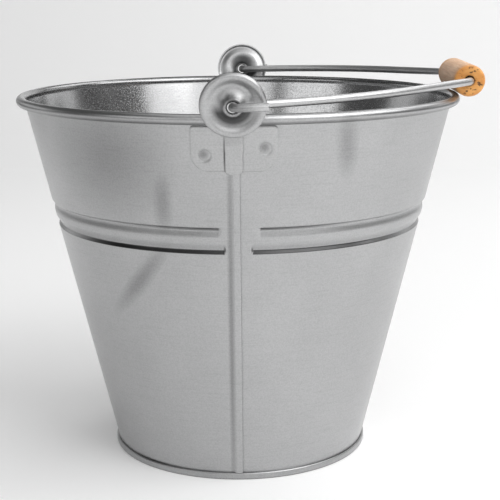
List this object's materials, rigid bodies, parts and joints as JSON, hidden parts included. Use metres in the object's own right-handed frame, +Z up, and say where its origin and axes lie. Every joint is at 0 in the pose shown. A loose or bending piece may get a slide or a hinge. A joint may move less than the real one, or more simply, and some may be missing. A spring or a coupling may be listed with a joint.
{
  "type": "florist bucket",
  "caption": "Tapered galvanised bucket with a rolled rim, lock seams, pressed ears, a wire bail and a turned wooden grip.",
  "frame": {"origin": "centre of the foot ring, on the surface that the bucket stands on", "axes": "+Z up along the bucket's axis; the seams and ears are on -Y and +Y; at rest the bail lies over to +X with its grip on the rim"},
  "size_m": [0.3124, 0.33, 0.2709],
  "materials": {
    "sheet": "satin hot-dip zinc",
    "pan": "satin hot-dip zinc",
    "wire": "bright zinc",
    "ear": "bright zinc",
    "rivet": "bright zinc",
    "bail_wire": "bright zinc",
    "grip_wood": "turned, unvarnished"
  },
  "bodies": {
    "bucket": {"body_half_left": "sheet", "body_half_right": "sheet", "bottom_pan": "pan", "rim_wire": "wire", "ear_front": "ear", "ear_back": "ear", "rivet_front_left": "rivet", "rivet_front_right": "rivet", "rivet_back_left": "rivet", "rivet_back_right": "rivet"},
    "bail": {"bail": "bail_wire"},
    "grip": {"grip": "grip_wood"}
  },
  "joints": [
    {"name": "bail_swing", "type": "hinge", "parent": "bucket", "child": "bail", "pos_m": [0, 0, 0.2513], "axis": [0, -1, 0], "range_deg": [0, 176.4]},
    {"name": "grip_spin", "type": "hinge", "parent": "bail", "child": "grip", "pos_m": [0.152, 0, 0.2561], "axis": [0, 1, 0], "continuous": true}
  ]
}
